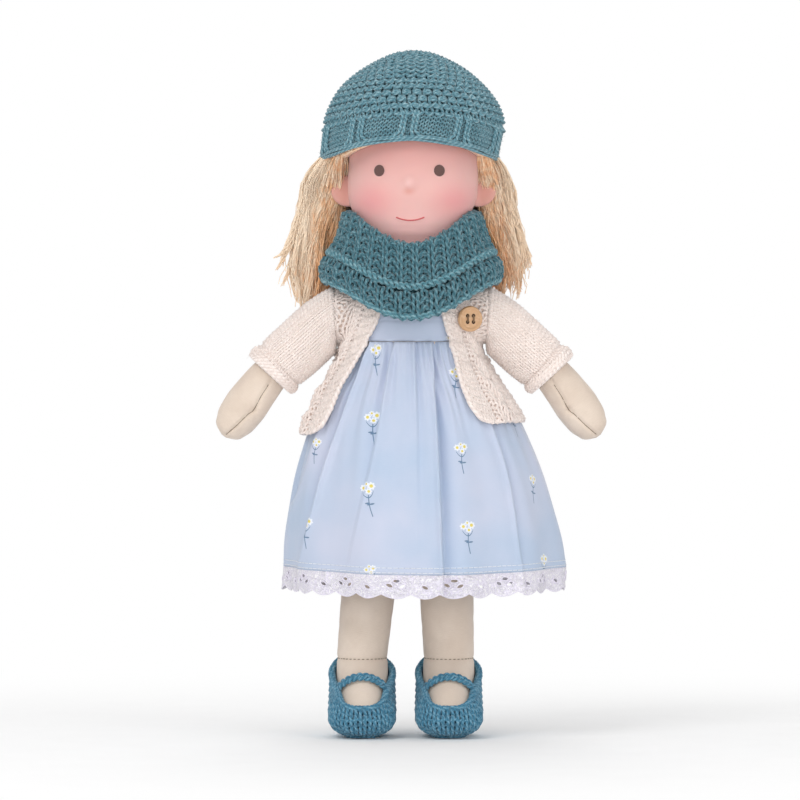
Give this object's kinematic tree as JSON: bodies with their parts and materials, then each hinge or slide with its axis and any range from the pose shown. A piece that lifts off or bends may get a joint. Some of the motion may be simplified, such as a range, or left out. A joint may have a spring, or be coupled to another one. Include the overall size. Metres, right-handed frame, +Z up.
{
  "type": "waldorf doll",
  "caption": "Soft cloth doll with a stuffed body, wool-filled head, knitted hat, cowl and cardigan, gathered dress and crocheted shoes; neck, arms and legs turn.",
  "frame": {"origin": "on the ground at the middle of the doll's box, between the two shoes", "axes": "+Z up along the body to the hat, -Y the way the face looks, +X towards the doll's own left hand"},
  "size_m": [0.1732, 0.0992, 0.305],
  "materials": {
    "body_cotton": "cream woven cotton",
    "wool_filling": "carded wool",
    "face_cotton": "skin-coloured cotton jersey with rubbed pink cheeks",
    "tie_thread": "strong cotton thread",
    "eye_felt": "dark brown thread",
    "mouth_thread": "red thread",
    "hair": "blond mohair yarn",
    "teal_knit": "teal wool, garter and rib knit",
    "dress_cotton": "pale blue cotton with small daisies",
    "lace": "white eyelet lace",
    "cream_knit": "cream wool, stocking stitch and cables",
    "button_wood": "turned and oiled",
    "shoe_crochet": "blue-green wool, double crochet"
  },
  "bodies": {
    "torso": {"torso_skin": "body_cotton", "torso_stuffing": "wool_filling", "bodice": "dress_cotton", "cardigan": "cream_knit", "button": "button_wood", "cowl": "teal_knit"},
    "head": {"head_skin": "face_cotton", "head_core": "wool_filling", "neck_tie": "tie_thread", "eye_left": "eye_felt", "eye_right": "eye_felt", "ear_left": "face_cotton", "ear_right": "face_cotton", "mouth_stitch": "mouth_thread", "hair_cap": "hair", "hair_left": "hair", "hair_right": "hair", "hair_back": "hair"},
    "hat": {"hat": "teal_knit"},
    "arm_left": {"arm_left": "body_cotton", "sleeve_left": "cream_knit"},
    "arm_right": {"arm_right": "body_cotton", "sleeve_right": "cream_knit"},
    "lap": {"skirt": "dress_cotton", "lace_trim": "lace"},
    "leg_left": {"leg_left": "body_cotton"},
    "leg_right": {"leg_right": "body_cotton"},
    "shoe_left": {"shoe_left": "shoe_crochet", "shoe_strap_left": "shoe_crochet"},
    "shoe_right": {"shoe_right": "shoe_crochet", "shoe_strap_right": "shoe_crochet"}
  },
  "joints": [
    {"name": "neck_turn", "type": "hinge", "parent": "torso", "child": "head", "pos_m": [0, 0, 0.204], "axis": [0, 0, 1], "range_deg": [-30, 30], "deforming": ["hair_left", "hair_right", "hair_back"]},
    {"name": "hat_lift", "type": "slide", "parent": "head", "child": "hat", "axis": [0, 0, 1], "range_m": [0, 0.06]},
    {"name": "shoulder_left", "type": "hinge", "parent": "torso", "child": "arm_left", "pos_m": [0.034, 0, 0.187], "axis": [-1, 0, 0], "range_deg": [-40, 90]},
    {"name": "shoulder_right", "type": "hinge", "parent": "torso", "child": "arm_right", "pos_m": [-0.034, 0, 0.187], "axis": [-1, 0, 0], "range_deg": [-40, 90]},
    {"name": "sit", "type": "hinge", "parent": "torso", "child": "lap", "pos_m": [0, 0, 0.12], "axis": [-1, 0, 0], "range_deg": [0, 75], "deforming": ["skirt", "lace_trim"]},
    {"name": "hip_left", "type": "hinge", "parent": "lap", "child": "leg_left", "pos_m": [0.0137, 0, 0.12], "axis": [-1, 0, 0], "range_deg": [-25, 15]},
    {"name": "hip_right", "type": "hinge", "parent": "lap", "child": "leg_right", "pos_m": [-0.0137, 0, 0.12], "axis": [-1, 0, 0], "range_deg": [-25, 15]},
    {"name": "shoe_off_left", "type": "slide", "parent": "leg_left", "child": "shoe_left", "axis": [0, 0, -1], "range_m": [0, 0.045], "deforming": ["shoe_left", "shoe_strap_left"]},
    {"name": "shoe_off_right", "type": "slide", "parent": "leg_right", "child": "shoe_right", "axis": [0, 0, -1], "range_m": [0, 0.045], "deforming": ["shoe_right", "shoe_strap_right"]}
  ]
}
